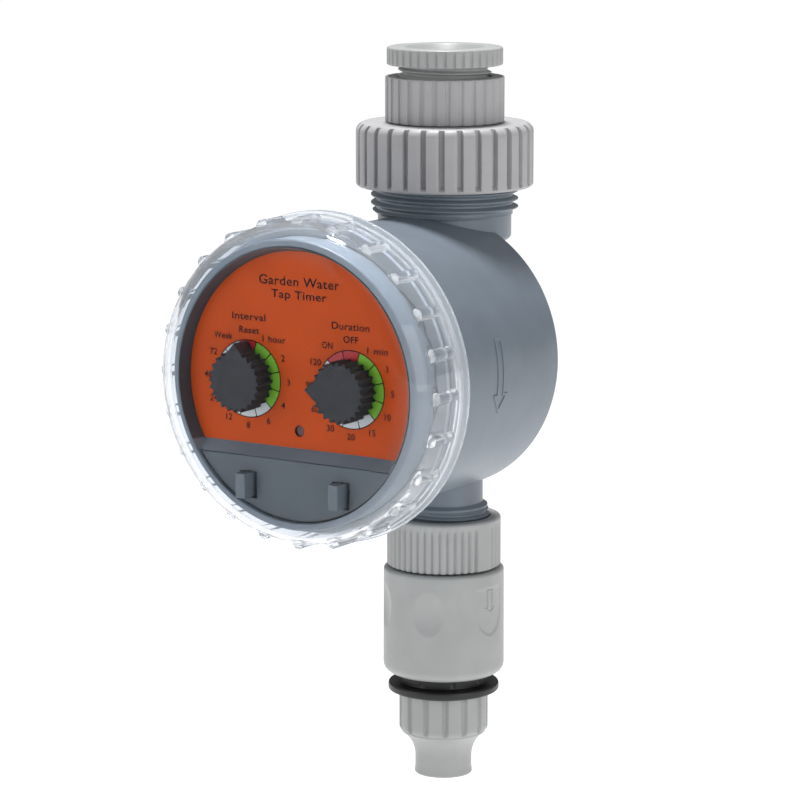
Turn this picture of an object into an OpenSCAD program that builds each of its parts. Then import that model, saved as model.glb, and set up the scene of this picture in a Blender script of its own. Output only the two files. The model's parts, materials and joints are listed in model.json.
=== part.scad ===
// Two-dial drip irrigation timer: a tap-mounted drum with a clear screw cover, two rotary
// dials, a battery tray and a geared ball valve, with tap and hose fittings above and below.
// Frame: origin at the mouth of the tap inlet, +Z up the water pipe, the dials face -Y.

/* [Tap inlet] */
// Crest radius of the G3/4 male threads
g34_crest_r = 13.22; // [13.1:0.02:13.3]
// Root radius of the G3/4 male threads
g34_root_r = 12.06; // [11.8:0.02:12.2]
// Pitch of the G3/4 threads
g34_pitch = 1.814; // [1.7:0.002:1.9]
// Radius of the plain bore that stands for the G1/2 female thread
tap_bore_r = 9.3; // [9:0.05:9.5]
// Clear depth of that bore above its washer
tap_depth = 11; // [10:0.5:11.5]
// Radius of the knurled flange on the reducer bush
bush_flange_r = 16.45; // [16.2:0.05:17]
// Height of that flange
bush_flange_h = 5.1; // [4.5:0.1:5.5]
// Depth of the reducer bush's lower end below the origin
bush_bottom = 18; // [17:0.5:18.5]
// Depth of the inlet adapter's ribbed top below the origin
adapter_top = 8.3; // [8:0.1:8.8]
// Radius of the inlet adapter's ribbed body
adapter_r = 16.9; // [16.5:0.1:17.4]

/* [Union nut] */
// Radius of the union nut
nut_r = 25.2; // [24.8:0.1:26]
// Depth of its top face below the origin
nut_top = 21.3; // [21:0.1:21.6]
// Depth of its lower face below the origin
nut_bottom = 39.4; // [39:0.1:40]
// Number of grip ribs on the union nut
nut_ribs = 30; // [24:1:34]
// Crest radius of the neck's G1-1/4 thread
neck_crest_r = 20.955; // [20.9:0.005:20.98]
// Root radius of the neck's thread
neck_root_r = 19.5; // [19.3:0.05:19.8]
// Pitch of the neck's thread
neck_pitch = 2.309; // [2.2:0.001:2.4]
// Depth of the neck's top edge below the origin
neck_top = 30.6; // [30.4:0.1:30.8]
// Radius of the plain neck below its thread
neck_r = 19; // [18.6:0.1:19.2]

/* [Drum] */
// Depth of the drum axis below the origin
drum_drop = 86; // [85:0.5:87]
// Outside radius of the drum
drum_r = 39.46; // [39:0.02:39.6]
// Wall thickness of the drum
drum_wall = 1.9; // [1.7:0.1:2]
// Distance of the drum's rear face in front of the pipe axis
drum_back = 2.3; // [2:0.1:2.6]
// Distance of the drum's front rim in front of the pipe axis
drum_front = 77.5; // [77.2:0.1:77.8]
// Radius of the pipe that runs down behind the drum
pipe_r = 15.2; // [15:0.1:15.5]

/* [Cover] */
// Outside radius of the clear cover's wall
cover_r = 44; // [43.8:0.1:44.2]
// Wall thickness of the clear cover
cover_wall = 1.6; // [1.5:0.05:1.7]
// Radius of the rounding between wall and window
cover_round = 10; // [9.5:0.1:10.2]
// Distance of the cover's window in front of the pipe axis
cover_front = 82.6; // [82.6:0.1:83.2]
// Distance of the cover's rear edge in front of the pipe axis
cover_back = 60; // [59:0.5:60.5]
// Radius of the cover's rear lip
cover_lip_r = 45.7; // [45.2:0.1:46]
// Number of grip ribs round the cover
cover_ribs = 24; // [18:1:28]

/* [Face] */
// Distance of the control panel's front face in front of the pipe axis
panel_front = 73.4; // [73.2:0.1:73.6]
// Height of the label's lower edge below the drum axis
label_chord = 17.8; // [17.5:0.1:18]
// Height of the battery door's upper edge below the drum axis
door_chord = 20.8; // [20.6:0.1:21]
// Distance of each dial from the middle of the face
dial_x = 16.7; // [16.4:0.1:17]
// Radius of the orange label and of the recess that it lies in
label_r = 36; // [35.6:0.1:36.2]
// Radius of the dial knobs
knob_r = 8.5; // [8:0.1:8.8]
// Length of each knob's pointer from its axis
pointer_r = 10.6; // [9.8:0.1:10.8]
// Height of the knobs above the control panel
knob_h = 7.3; // [7:0.1:7.3]
// Distance of each latch tab from the middle of the face
latch_x = 15.1; // [15:0.05:15.2]

/* [Gear train] */
// Gear module
gear_module = 0.6; // [0.58:0.01:0.62]
// Teeth on each pinion
pinion_teeth = 12; // [12]
// Teeth on each wheel
wheel_teeth = 36; // [36]
// Backlash taken off each tooth
backlash = 0.16; // [0.1:0.01:0.2]
// Thickness of each gear
gear_h = 2.6; // [2.2:0.1:2.6]

/* [Valve] */
// Radius of the valve ball
ball_r = 10; // [9.8:0.1:10.1]
// Radius of the waterway through the ball
waterway_r = 6; // [5:0.1:6.2]
// Radius of the valve stem
stem_r = 3; // [2.8:0.1:3]

/* [Outlet] */
// Depth of the outlet's lower end below the origin
outlet_end = 144.6; // [144:0.1:145]
// Radius of the outlet tube below the drum
outlet_r = 11.2; // [11:0.1:11.6]
// Radius of the fluted collar
collar_r = 16.46; // [16.2:0.02:16.8]
// Depth of the collar's top face
collar_top = 134.7; // [134.4:0.1:135]
// Depth of the collar's lower face
collar_bottom = 149.2; // [148.6:0.1:149.4]
// Number of flutes round the collar
collar_flutes = 46; // [40:1:48]
// Radius of the nipple that the hose connector clicks on to
nipple_r = 8.4; // [8.2:0.05:8.5]

/* [Hose connector] */
// Radius of the connector's outer sleeve
sleeve_r = 17.5; // [17:0.1:17.7]
// Depth of the sleeve's top face
sleeve_top = 149.7; // [149.5:0.1:150]
// Depth of the sleeve's lower edge
sleeve_bottom = 181; // [180.4:0.1:181.1]
// Depth of the connector disc's lower face
disc_bottom = 186.4; // [186:0.1:186.8]
// Radius of the connector disc
disc_r = 16.04; // [15.8:0.02:16.3]
// Radius of the hose nut's grip
hose_nut_r = 12.9; // [12.6:0.1:13.1]
// Depth of the hose nut's shoulder, where its taper starts
hose_nut_bottom = 198.4; // [198:0.1:199]
// Radius of the hose nut's tail
tail_r = 8.2; // [8:0.1:8.5]
// Depth of the tail's open end
tail_end = 211.4; // [211:0.1:212]

/* [Hidden] */
$fn = 96;

// Colours
c_light = "#b9bab8";
c_nut = "#a6a5a3";
c_body = "#7b868f";
c_black = "#232426";
c_charcoal = "#34343a";
c_label = "#d8531f";
c_rubber = "#2b2b2b";
c_steel = "#b8bcc0";
c_brass = "#c2a25a";
c_board = "#2f6b3a";
c_white = "#e6e6e2";
c_clear = [0.86, 0.9, 0.93, 0.35];

// Running clearance between a male crest and the plain bore that turns on it
run_gap = 0.08;
// Gap between neighbouring bodies that do not fit one another
body_gap = 0.3;
// Overshoot of a cut past the surface that it opens
cut = 1;

// Adapter, seal and seat levels, as depths below the origin
adapter_shelf = bush_bottom + 2;
adapter_end = neck_top - 2;
washer_seat_r = tap_bore_r + 0.6;
ball_z = drum_drop;
seat_h = 4.5;
seat_low = 97;

// Levels along the drum axis, as distances in front of the pipe axis
drum_in_r = drum_r - drum_wall;
door_front = panel_front + 3;
panel_back = panel_front - 2.2;
label_t = 0.3;
board_front = 63;
board_t = 1.6;
knob_front = panel_front + knob_h;
cell_r = 5.25;
cell_x = 5.4;
cell_y = -27;
cell_back = 29.4;
cell_len = 44.5;
tray_gap_x = 17;
latch_front = door_front + 3.9;

// Gear geometry
wheel_r = gear_module * wheel_teeth / 2;
pinion_r = gear_module * pinion_teeth / 2;
centre_dist = wheel_r + pinion_r;
gearbox_back = 17.6;
layer_1 = 20.2;
layer_2 = layer_1 + gear_h + 0.4;
layer_3 = layer_2 + gear_h + 0.4;
gearbox_front = layer_3 + gear_h + 0.6;
second_dir = 130;
first_dir = 50;
motor_dir = 0;
second_at = centre_dist * [cos(second_dir), sin(second_dir)];
first_at = second_at + centre_dist * [cos(first_dir), sin(first_dir)];
motor_at = first_at + centre_dist * [cos(motor_dir), sin(motor_dir)];
pillar_at = [[-24, 18], [27, 14], [-28, -8], [28, -8]];
panel_screw_dirs = [38, 142, 202, 338];
panel_screw_r = 33;
panel_screw_at = [for (a = panel_screw_dirs) panel_screw_r * [cos(a), sin(a)]];
board_r = 30.1;
board_screw_at = [[0, 27.2], [-26, 9], [26, 9]];

// Puts children in the drum's own frame: x right, y up, z towards the dials
module in_drum() {
    translate([0, 0, -drum_drop]) rotate([90, 0, 0]) children();
}

// Cylinder between two levels
module post(r, low, high) {
    translate([0, 0, low]) cylinder(r = r, h = high - low);
}

// Flat ring between two levels
module ring(r_out, r_in, low, high) {
    difference() {
        post(r_out, low, high);
        post(r_in, low - cut, high + cut);
    }
}

// Straight grip grooves round a body of radius r
module grip_grooves(count, r, depth, width, low, high) {
    for (i = [0:count - 1])
        rotate([0, 0, 360 / count * (i + 0.5)])
            translate([r - depth, -width / 2, low])
                cube([depth + cut, width, high - low]);
}

// Round flutes cut round a body of radius r
module round_flutes(count, r, flute_r, depth, low, high) {
    for (i = [0:count - 1])
        rotate([0, 0, 360 / count * i])
            translate([r + flute_r - depth, 0, low])
                cylinder(r = flute_r, h = high - low, $fn = 24);
}

// Rings of a male thread from one level down, on a solid core
module thread_rings(crest, root, pitch, turns, high) {
    rotate_extrude()
        polygon(concat(
            [[0, high], [root, high]],
            [for (i = [0:turns - 1], p = [[root, 0.1], [crest, 0.42], [crest, 0.58], [root, 0.9]])
                [p[0], high - (i + p[1]) * pitch]],
            [[root, high - turns * pitch], [0, high - turns * pitch]]
        ));
}

// Points of a quarter arc from angle a0 to a1 about a centre
function arc(centre, r, a0, a1, steps) =
    [for (i = [0:steps]) let (a = a0 + (a1 - a0) * i / steps) centre + r * [cos(a), sin(a)]];

// ---- Tap inlet ----

module reducer_bush() {
    color(c_light) difference() {
        union() {
            post(bush_flange_r, -bush_flange_h, 0);
            thread_rings(g34_crest_r, g34_root_r, g34_pitch, 7, -bush_flange_h);
            post(g34_root_r, -bush_bottom, -bush_flange_h - cut);
        }
        round_flutes(42, bush_flange_r, 0.8, 0.45, -bush_flange_h - cut, -0.8);
        post(tap_bore_r, -tap_depth, cut);
        post(washer_seat_r, -tap_depth - 2, -tap_depth);
        post(6.6, -bush_bottom - cut, -tap_depth);
    }
}

module tap_washer() {
    color(c_rubber) ring(washer_seat_r - 0.05, 6.8, -tap_depth - 2, -tap_depth);
}

module bush_washer() {
    color(c_rubber) ring(g34_crest_r - 0.3, 8.2, -adapter_shelf, -bush_bottom);
}

module inlet_adapter() {
    collar_low = nut_top - body_gap;
    flange_top = nut_top + 3.9;
    color(c_nut) difference() {
        union() {
            post(adapter_r, -collar_low, -adapter_top);
            post(15.2, -flange_top - cut, -collar_low + cut);
            post(20.3, -adapter_end, -flange_top);
        }
        grip_grooves(28, adapter_r, 0.5, 0.9, -collar_low - cut, -adapter_top + cut);
        post(g34_crest_r + run_gap, -adapter_shelf, -adapter_top + cut);
        post(8.6, -adapter_end - cut, -adapter_shelf + cut);
    }
}

// Union nut: a shoulder over the adapter's flange and a plain bore over the neck's crests
module union_nut() {
    shoulder = 2.5;
    color(c_nut) difference() {
        rotate_extrude() polygon(concat(
            [[15.5, -nut_top], [15.5, -nut_top - 3.7], [neck_crest_r + run_gap, -nut_top - 3.7],
             [neck_crest_r + run_gap, -nut_bottom]],
            arc([nut_r - 1.2, -nut_bottom + 1.2], 1.2, -90, 0, 4),
            arc([nut_r - shoulder, -nut_top - shoulder], shoulder, 0, 90, 6)
        ));
        grip_grooves(nut_ribs, nut_r, 1.6, 1.7, -nut_bottom + 1.3, -nut_top + cut);
    }
}

module union_seal() {
    color(c_rubber) ring(19.6, 12.5, -neck_top, -adapter_end);
}

// Debris filter: a rim in the neck's mouth and a slotted cup below it
module filter_screen() {
    rim_low = neck_top + 1.6;
    cup_low = 43;
    color(c_white) difference() {
        union() {
            post(17.3, -rim_low, -neck_top);
            post(13, -cup_low, -rim_low + cut);
        }
        post(12.2, -cup_low + 0.8, -neck_top + cut);
        for (a = [0:30:330])
            rotate([0, 0, a]) translate([11, -1, -cup_low + 2]) cube([3, 2, 7]);
        for (x = [-8:4:8])
            translate([x - 1, -6, -cup_low - cut]) cube([2, 12, 3]);
    }
}

// ---- Housing ----

// Outline of the flow arrow, pointing down, before it is hollowed
module arrow_outline(grow) {
    shaft = 1.7 + grow;
    head = 3.6 + grow;
    polygon([[-shaft, 10.2 + grow], [shaft, 10.2 + grow], [shaft, -5 + grow], [head, -5 + grow],
             [0, -10.2 - 1.6 * grow], [-head, -5 + grow], [-shaft, -5 + grow]]);
}

module flow_arrow() {
    intersection() {
        translate([drum_r - 2, -34, -drum_drop]) rotate([90, 0, 90])
            linear_extrude(4) difference() {
                arrow_outline(0);
                arrow_outline(-0.6);
            }
        in_drum() post(drum_r + 0.35, drum_back, drum_front);
    }
}

// Solid form of the neck, the pipe behind the drum and the threaded outlet
module pipe_form() {
    neck_low = 54.5;
    thread_rings(neck_crest_r, neck_root_r, neck_pitch, 7, -neck_top);
    rotate_extrude() polygon(concat(
        [[0, -neck_top - cut], [neck_r, -neck_top - cut]],
        arc([neck_r - 1.5, -neck_low + 1.5], 1.5, 0, -90, 4),
        [[pipe_r, -neck_low], [pipe_r, -110], [outlet_r, -119], [outlet_r, -131.2],
         [12.5, -131.2], [12.5, -132.2], [0, -132.2]]
    ));
    thread_rings(g34_crest_r, g34_root_r, g34_pitch, 6, -132.2);
    post(g34_root_r, -outlet_end, -142);
}

module pipe_bores() {
    post(17.5, -neck_top - 1.6, -neck_top + cut);
    post(15.5, -50, -neck_top);
    post(12.2, -seat_low, -50 + cut);
    post(waterway_r, -108, -seat_low + cut);
    post(7.5, -outlet_end - cut, -107);
}

// Valve body: the union neck, the pipe that holds the ball, the stem's gland and the outlet
module valve_body() {
    gland_front = 17.2;
    color(c_body) difference() {
        union() {
            pipe_form();
            in_drum() post(6.4, 10, gland_front);
        }
        pipe_bores();
        in_drum() post(stem_r + 0.06, 8, gland_front + cut);
    }
}

// Drum shell: a cup that is moulded round the valve body, with the cover's thread outside
// and the pillars of the gearbox and the control panel inside
module main_housing() {
    color(c_body) difference() {
        union() {
            in_drum() {
                difference() {
                    post(drum_r, drum_back, drum_front);
                    post(drum_in_r, drum_back + 2.4, drum_front + cut);
                }
                for (z = [61.4, 64.2])
                    ring(cover_r - cover_wall - run_gap, drum_r - 0.5, z, z + 1.2);
                for (p = pillar_at)
                    translate(p) post(3.4, drum_back + 1, gearbox_back);
                for (a = panel_screw_dirs)
                    rotate([0, 0, a]) {
                        translate([panel_screw_r, 0]) post(2.6, 56, panel_back);
                        translate([panel_screw_r, -1.2, 56]) cube([5, 2.4, panel_back - 56]);
                    }
            }
            flow_arrow();
        }
        pipe_form();
        in_drum() {
            for (p = pillar_at)
                translate(p) post(1.25, 9, gearbox_back + cut);
            for (p = panel_screw_at)
                translate(p) post(1.25, 60, panel_back + cut);
        }
    }
}

// Clear cover: a round window, a rolled corner, a ribbed wall and a double rear lip
module clear_cover() {
    corner = [cover_r - cover_round, cover_front - cover_round];
    wall_in_r = cover_r - cover_wall;
    lip_step = 1.5;
    rib_r = 1.8;
    color(c_clear) in_drum() union() {
        rotate_extrude() polygon(concat(
            [[0, cover_front - cover_wall]],
            arc(corner, cover_round - cover_wall, 90, 0, 8),
            [[wall_in_r, cover_back], [cover_lip_r, cover_back],
             [cover_lip_r, cover_back + lip_step], [cover_lip_r - 1.2, cover_back + lip_step],
             [cover_lip_r - 1.2, cover_back + 1.8 * lip_step],
             [cover_lip_r - 0.6, cover_back + 1.8 * lip_step],
             [cover_lip_r - 0.6, cover_back + 3 * lip_step], [cover_r, cover_back + 3 * lip_step]],
            arc(corner, cover_round, 0, 90, 8),
            [[0, cover_front]]
        ));
        difference() {
            for (i = [0:cover_ribs - 1])
                rotate([0, 0, 360 / cover_ribs * i])
                    translate([cover_r - 0.4, 0, cover_back + 3.5 * lip_step])
                        cylinder(r = rib_r, h = 10, $fn = 24);
            post(cover_r - 0.6, cover_back, cover_front);
        }
    }
}

module cover_seal() {
    color(c_rubber) in_drum()
        ring(cover_r - cover_wall - 0.12, drum_r + 0.2, 66.2, 67.6);
}

// ---- Control panel ----

module panel_outline(r, chord) {
    intersection() {
        circle(r = r);
        translate([-r, -chord]) square([2 * r, 2 * r]);
    }
}

// Control panel: the plate behind the label, the bevel above the battery door, the posts for
// the circuit board and the channel that guides the battery tray
module control_panel() {
    panel_r = drum_in_r - 0.15;
    rail_x = 12.1;
    color(c_body) in_drum() difference() {
        union() {
            post(panel_r, panel_back, panel_front);
            intersection() {
                rotate_extrude() polygon([
                    [label_r + 0.2, panel_front - 0.5], [panel_r, panel_front - 0.5],
                    [panel_r, drum_front], [panel_r - 0.2, drum_front], [label_r + 0.2, panel_front]
                ]);
                translate([-panel_r, 0.2 - door_chord, 0]) cube(2 * panel_r + drum_front);
            }
            intersection() {
                rotate([90, 0, 90]) translate([0, 0, -panel_r]) linear_extrude(2 * panel_r)
                    polygon([[-label_chord, panel_front - 0.5], [-label_chord, panel_front],
                             [-door_chord + 0.2, door_front], [-door_chord + 0.2, panel_front - 0.5]]);
                post(panel_r, panel_back, drum_front);
            }
            for (p = board_screw_at)
                translate(p) post(2.2, board_front, panel_back + 0.5);
            for (s = [-1, 1])
                translate([s > 0 ? rail_x : -rail_x - 1.2, -33, 26])
                    cube([1.2, 13.2, 42]);
            translate([-rail_x - 1.2, -21, 26])
                cube([2 * rail_x + 2.4, 1.2, panel_back - 26 + 0.5]);
            translate([-rail_x - 1.2, -33, 24.6])
                cube([2 * rail_x + 2.4, 13.2, 1.4]);
        }
        for (x = [-dial_x, dial_x])
            translate([x, 0]) post(3.5, panel_back - cut, panel_front + cut);
        translate([0, -12.9]) post(1.6, panel_back - cut, panel_front + cut);
        translate([-tray_gap_x, -40, panel_back - cut]) cube([2 * tray_gap_x, 19, 5]);
        for (p = panel_screw_at) {
            translate(p) post(1.5, panel_back - cut, panel_front);
            translate(p) post(2.4, panel_front - 1.3, panel_front + cut);
        }
        for (p = board_screw_at)
            translate(p) post(0.9, board_front - cut, panel_back);
        for (x = [-cell_x, cell_x])
            translate([x, cell_y]) post(0.7, 24, 26 + cut);
    }
}

module face_label() {
    color(c_label) in_drum() difference() {
        translate([0, 0, panel_front]) linear_extrude(label_t)
            panel_outline(label_r, label_chord - 0.15);
        for (x = [-dial_x, dial_x])
            translate([x, 0]) post(3.6, panel_front - cut, panel_front + cut);
        translate([0, -12.9]) post(1.6, panel_front - cut, panel_front + cut);
    }
}

module panel_screws() {
    color(c_steel) in_drum() for (p = panel_screw_at) translate(p) {
        post(1.2, 62, panel_front - 1.2);
        post(2.2, panel_front - 1.3, panel_front - 0.1);
    }
}

// Dial knob: a tall fluted drum with a full-height pointer, turned to its setting
module knob(x, setting) {
    back = panel_front + label_t + body_gap;
    shoulder_r = 6;
    half_width = 3.9;
    color(c_charcoal) in_drum() translate([x, 0]) rotate([0, 0, 90 - setting]) difference() {
        union() {
            difference() {
                post(knob_r, back, knob_front);
                round_flutes(24, knob_r, 1, 0.55, back - cut, knob_front + cut);
            }
            translate([0, 0, back]) linear_extrude(knob_front - back)
                polygon([[shoulder_r, half_width], [pointer_r, 0], [shoulder_r, -half_width]]);
        }
        post(stem_r + 0.05, panel_front - cut, knob_front - 1.6);
    }
}

module interval_knob() {
    knob(-dial_x, 0);
}

module duration_knob() {
    knob(dial_x, 270);
}

module spindle(x) {
    color(c_white) in_drum() translate([x, 0]) post(stem_r, board_front + 1, knob_front - 1.8);
}

module interval_spindle() {
    spindle(-dial_x);
}

module duration_spindle() {
    spindle(dial_x);
}

// Twelve-position rotary switch on the circuit board
module rotary_switch(x) {
    color(c_black) in_drum() translate([x, 0]) difference() {
        union() {
            translate([-6.5, -6.5, board_front]) cube([13, 13, 5]);
            post(5, board_front + 4, board_front + 7);
        }
        post(stem_r + 0.06, board_front + 0.9, board_front + 8);
    }
}

module interval_switch() {
    rotary_switch(-dial_x);
}

module duration_switch() {
    rotary_switch(dial_x);
}

module circuit_board() {
    color(c_board) in_drum() difference() {
        translate([0, 0, board_front - board_t]) linear_extrude(board_t) panel_outline(board_r, 18.4);
        for (p = board_screw_at)
            translate(p) post(1.2, board_front - 3, board_front + cut);
    }
}

// Chip, crystal can, capacitor and sounder on the back of the board
module board_parts() {
    back = board_front - board_t;
    color(c_black) in_drum() {
        translate([-4, 3, back - 1.6]) cube([8, 8, 1.6]);
        translate([-9, -12, back - 3.4]) cube([4.5, 9, 3.4]);
        translate([-18, 8]) post(3, back - 7, back);
        translate([14, -9]) post(5.5, back - 5, back);
    }
}

module board_screws() {
    color(c_steel) in_drum() for (p = board_screw_at) translate(p) {
        post(0.85, board_front - board_t - 0.5, board_front + 5);
        post(1.9, board_front - board_t - 1.4, board_front - board_t);
    }
}

module status_led() {
    color(c_white) in_drum() translate([0, -12.9]) {
        post(1.45, board_front + 2, panel_front - 0.4);
        for (x = [-0.7, 0.7])
            translate([x, 0]) post(0.3, board_front, board_front + 2.5);
    }
}

// ---- Battery tray ----

// Segment-shaped door with two latch slots, in front of a shallow trough for the cells
module battery_tray() {
    door_r = drum_in_r - 0.35;
    trough_x = 10.8;
    trough_back = cell_back - 0.9;
    color(c_body) in_drum() difference() {
        union() {
            translate([0, 0, door_front - 2]) linear_extrude(2) intersection() {
                circle(r = door_r);
                translate([-door_r, -door_r]) square([2 * door_r, door_r - door_chord]);
            }
            translate([-trough_x - 1, cell_y - 6.6, trough_back])
                cube([2 * trough_x + 2, 8, door_front - 1 - trough_back]);
        }
        translate([-trough_x, cell_y - 5.5, trough_back - cut])
            cube([2 * trough_x, 12, door_front - 2 - trough_back + cut]);
        for (s = [-1, 1])
            translate([s * latch_x - 2.7, -32.2, door_front - 4]) cube([5.4, 7.2, 6]);
    }
}

module battery_link() {
    color(c_brass) in_drum()
        translate([-9, cell_y - 4, cell_back + cell_len + 0.05]) cube([18, 8, 0.35]);
}

// Spring contacts at the back of the battery channel, with their tails through the wall
module battery_contacts() {
    color(c_steel) in_drum() for (x = [-cell_x, cell_x]) translate([x, cell_y]) {
        post(0.6, 23, 26.5);
        translate([0, 0, 26.1]) cylinder(r1 = 3.4, r2 = 1.6, h = cell_back - 26.3);
    }
}

module aaa_cell(x) {
    color(c_brass) in_drum() translate([x, cell_y]) {
        post(cell_r, cell_back + 0.2, cell_back + cell_len - 0.8);
        post(1.9, cell_back + 20, cell_back + cell_len);
    }
}

module battery_left() {
    aaa_cell(-cell_x);
}

module battery_right() {
    aaa_cell(cell_x);
}

// Latch tab on one side: the finger tab through the door and the hook behind the panel
module latch(side) {
    color(c_body) in_drum() mirror([side < 0 ? 1 : 0, 0, 0]) {
        translate([latch_x - 1.5, -31.9, panel_back - 1.9])
            cube([3, 6.8, latch_front - panel_back + 1.9]);
        translate([latch_x + 1, -31.9, panel_back - 1.9])
            cube([tray_gap_x - latch_x - 1.15, 6.8, 1.6]);
    }
}

module latch_left() {
    latch(-1);
}

module latch_right() {
    latch(1);
}

// ---- Gearbox ----

// One tooth as points, root to tip to root, with involute flanks; add is the addendum
function flank(rb, r) =
    let (t = sqrt(max(r * r / rb / rb - 1, 0)) * 180 / PI) [r, t - atan(t * PI / 180)];

function gear_points(teeth, add) =
    let (rp = gear_module * teeth / 2,
         rb = rp * cos(20),
         root = rp - 1.15 * gear_module,
         tip = rp + add * gear_module,
         half = 90 / teeth - backlash / 2 / rp * 180 / PI + flank(rb, rp)[1],
         radii = [max(root + 0.1, rb), (max(root + 0.1, rb) + tip) / 2, tip])
    [for (i = [0:teeth - 1], s = [-1, 1], k = [0:3])
        let (j = s < 0 ? k : 3 - k,
             r = j == 0 ? root : radii[j - 1],
             a = i * 360 / teeth + s * (half - (j == 0 ? 0 : flank(rb, radii[j - 1])[1])))
        r * [cos(a), sin(a)]];

module wheel(at, turn, layer, add = 0.72) {
    translate([at[0], at[1], layer]) rotate([0, 0, turn])
        linear_extrude(gear_h) polygon(gear_points(wheel_teeth, add));
}

module pinion(at, turn, layer, add = 0.9) {
    translate([at[0], at[1], layer]) rotate([0, 0, turn + 180 + 180 / pinion_teeth])
        linear_extrude(gear_h) polygon(gear_points(pinion_teeth, add));
}

// A wheel in front of the pinion that drives the next gear down, on a shared bore
module compound_gear(at, wheel_turn, pinion_turn, layer) {
    color(c_white) in_drum() difference() {
        union() {
            wheel(at, wheel_turn, layer);
            pinion(at, pinion_turn, layer - gear_h - 0.4);
            translate(at) post(2.4, layer - 1, layer + 0.5);
        }
        translate(at) post(1.06, layer - 2 * gear_h, layer + 2 * gear_h);
    }
}

module plate(low, high) {
    translate([0, 0, low]) linear_extrude(high - low) panel_outline(34.5, 14);
}

module gearbox_base() {
    color(c_body) in_drum() difference() {
        union() {
            plate(gearbox_back, gearbox_back + 2);
            for (p = pillar_at)
                translate(p) post(2.6, gearbox_back + 1, gearbox_front);
        }
        post(6.6, gearbox_back - cut, gearbox_front);
        translate([-10, 31, gearbox_back - cut]) cube([20, 5, 4]);
        for (p = [first_at, second_at])
            translate(p) post(1.03, gearbox_back + 0.5, gearbox_front);
        for (p = pillar_at)
            translate(p) post(1.45, gearbox_back - cut, gearbox_front + cut);
    }
}

module gearbox_cover() {
    color(c_body) in_drum() difference() {
        plate(gearbox_front, gearbox_front + 1.6);
        for (p = pillar_at)
            translate(p) post(1.45, gearbox_front - cut, gearbox_front + 2 + cut);
        for (p = [first_at, second_at])
            translate(p) post(1.03, gearbox_front - cut, gearbox_front + 1.2);
        post(1.56, gearbox_front - cut, gearbox_front + 3);
        translate(motor_at) post(2.6, gearbox_front - cut, gearbox_front + 3);
    }
}

module gearbox_screws() {
    color(c_steel) in_drum() for (p = pillar_at) translate(p) {
        post(1.2, 10, gearbox_front + 2);
        post(2.4, gearbox_front + 1.6, gearbox_front + 3);
    }
}

module gear_motor() {
    back = gearbox_front + 1.6;
    color(c_steel) in_drum() translate(motor_at) difference() {
        union() {
            post(7.5, back, back + 17);
            post(2.4, back - 1, back + 1);
            for (x = [-4, 4])
                translate([x - 0.5, -1, back + 16]) cube([1, 2, 3]);
        }
        post(1.06, back - 2, back + 8);
    }
}

module motor_leads() {
    color(c_label) in_drum() for (x = [-4, 4])
        translate([motor_at[0] + x, motor_at[1]])
            post(0.6, gearbox_front + 20.7, board_front - board_t - 0.05);
}

module motor_pinion() {
    color(c_brass) in_drum() {
        pinion(motor_at, motor_dir, layer_3);
        translate(motor_at) post(1, layer_3 + 1, gearbox_front + 8);
    }
}

module first_gear() {
    compound_gear(first_at, motor_dir, first_dir, layer_3);
}

module second_gear() {
    compound_gear(second_at, first_dir, second_dir, layer_2);
}

module gear_axles() {
    color(c_steel) in_drum() for (p = [first_at, second_at])
        translate(p) post(1, gearbox_back + 0.6, gearbox_front + 1.1);
}

module output_gear() {
    color(c_white) in_drum() difference() {
        union() {
            wheel([0, 0], second_dir, layer_1);
            post(5, layer_1 - 0.3, layer_1 + 0.5);
        }
        post(stem_r - 0.45, layer_1 - cut, layer_1 + gear_h + 2);
    }
}

// ---- Ball valve ----

// Stem: a tang in the ball's slot, two seal grooves, the gear seat and a front journal
module valve_stem() {
    tang_back = ball_r - 2.6;
    color(c_brass) in_drum() difference() {
        union() {
            translate([-1, -2.6, tang_back]) cube([2, 5.2, 3.2]);
            post(stem_r, ball_r + 0.4, layer_1 - 0.35);
            post(stem_r - 0.5, layer_1 - 0.5, layer_1 + gear_h + 0.6);
            post(1.5, layer_1, gearbox_front + 1);
        }
        for (z = [12.2, 14.6])
            ring(stem_r + cut, 2, z, z + 1.2);
    }
}

module stem_seals() {
    color(c_rubber) in_drum() for (z = [12.8, 15.2])
        translate([0, 0, z]) rotate_extrude() translate([2.52, 0]) circle(r = 0.48, $fn = 24);
}

module valve_ball() {
    color(c_steel) difference() {
        translate([0, 0, -ball_z]) sphere(r = ball_r);
        post(waterway_r, -ball_z - 2 * ball_r, -ball_z + 2 * ball_r);
        in_drum() translate([-1.06, -12, ball_r - 2.7]) cube([2.12, 24, 4]);
    }
}

// Seat ring: one face follows the ball; up is 1 above the ball and -1 below it
module seat(up) {
    level = up > 0 ? -ball_z + (seat_low - ball_z) - seat_h : -seat_low;
    color(c_white) difference() {
        ring(12.1, waterway_r + 0.1, level, level + seat_h);
        translate([0, 0, -ball_z]) sphere(r = ball_r + 0.05);
    }
}

module upper_seat() {
    seat(1);
}

module lower_seat() {
    seat(-1);
}

module seat_retainer() {
    low = ball_z - (seat_low - ball_z);
    color(c_body) ring(12.1, 7, -low, -low + 6);
}

// ---- Outlet and hose connector ----

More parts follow.
